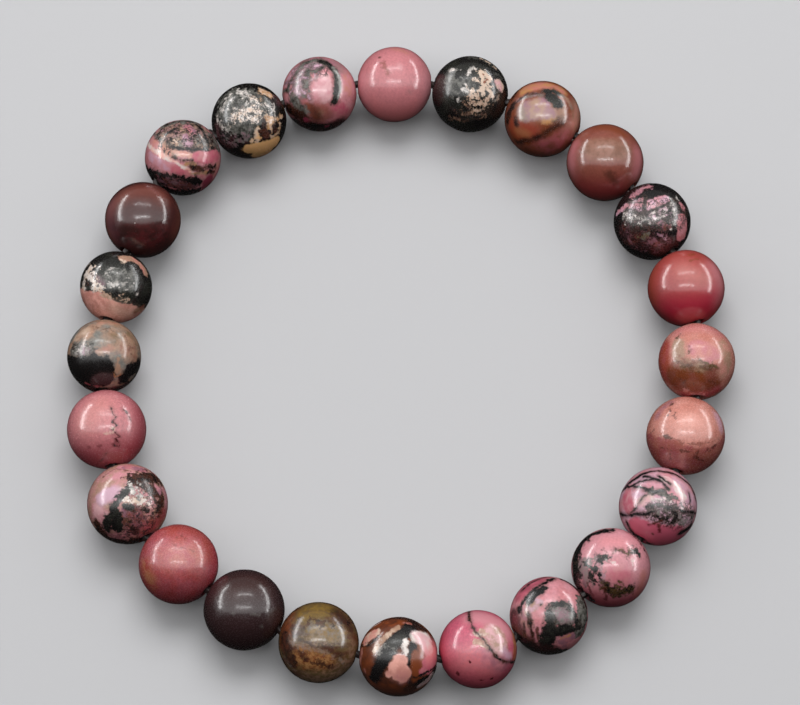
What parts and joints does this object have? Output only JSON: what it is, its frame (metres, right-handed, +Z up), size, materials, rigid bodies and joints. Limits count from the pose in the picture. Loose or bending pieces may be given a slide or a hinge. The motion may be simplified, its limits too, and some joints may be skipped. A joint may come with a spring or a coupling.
{
  "type": "rhodonite bead bracelet",
  "caption": "Bracelet of round polished rhodonite beads in pink, coral, brown and black, threaded edge to edge on a closed loop of elastic cord and lying in a loose ring.",
  "frame": {"origin": "on the surface that the beads stand on, under the middle of the ring's box", "axes": "+Z up through the ring, the way the wrist goes; +Y towards the back of the ring, where bead_01 is; +X to the right"},
  "size_m": [0.0692, 0.0702, 0.0082],
  "materials": {
    "rose": "polished pink rhodonite, nearly even in colour",
    "coral": "polished brick-red to coral rhodonite",
    "peach": "polished peach to salmon rhodonite with grey-brown clouds",
    "clay": "polished brown-pink rhodonite, nearly even in colour",
    "rust": "polished rust-brown rhodonite with a black vein and a pale patch",
    "veined": "polished pink rhodonite with black manganese oxide veins and patches",
    "patched": "polished pink, rust and black rhodonite in sharp patches",
    "black_and_cream": "polished black manganese oxide stone with cream and pink patches",
    "tan_and_black": "polished tan rhodonite with large black patches",
    "olive": "polished olive-brown stone with fine streaks",
    "umber": "polished dark purple-brown stone, nearly even in colour",
    "maroon": "polished dark maroon stone, nearly even in colour",
    "elastic": "dark brown twisted elastic cord"
  },
  "bodies": {
    "root": {"bead_01": "rose", "bead_02": "black_and_cream", "bead_03": "rust", "bead_04": "clay", "bead_05": "veined", "bead_06": "coral", "bead_07": "peach", "bead_08": "peach", "bead_09": "veined", "bead_10": "veined", "bead_11": "veined", "bead_12": "rose", "bead_13": "patched", "bead_14": "olive", "bead_15": "umber", "bead_16": "coral", "bead_17": "veined", "bead_18": "rose", "bead_19": "tan_and_black", "bead_20": "black_and_cream", "bead_21": "maroon", "bead_22": "veined", "bead_23": "black_and_cream", "bead_24": "veined", "elastic_cord": "elastic"}
  },
  "joints": []
}
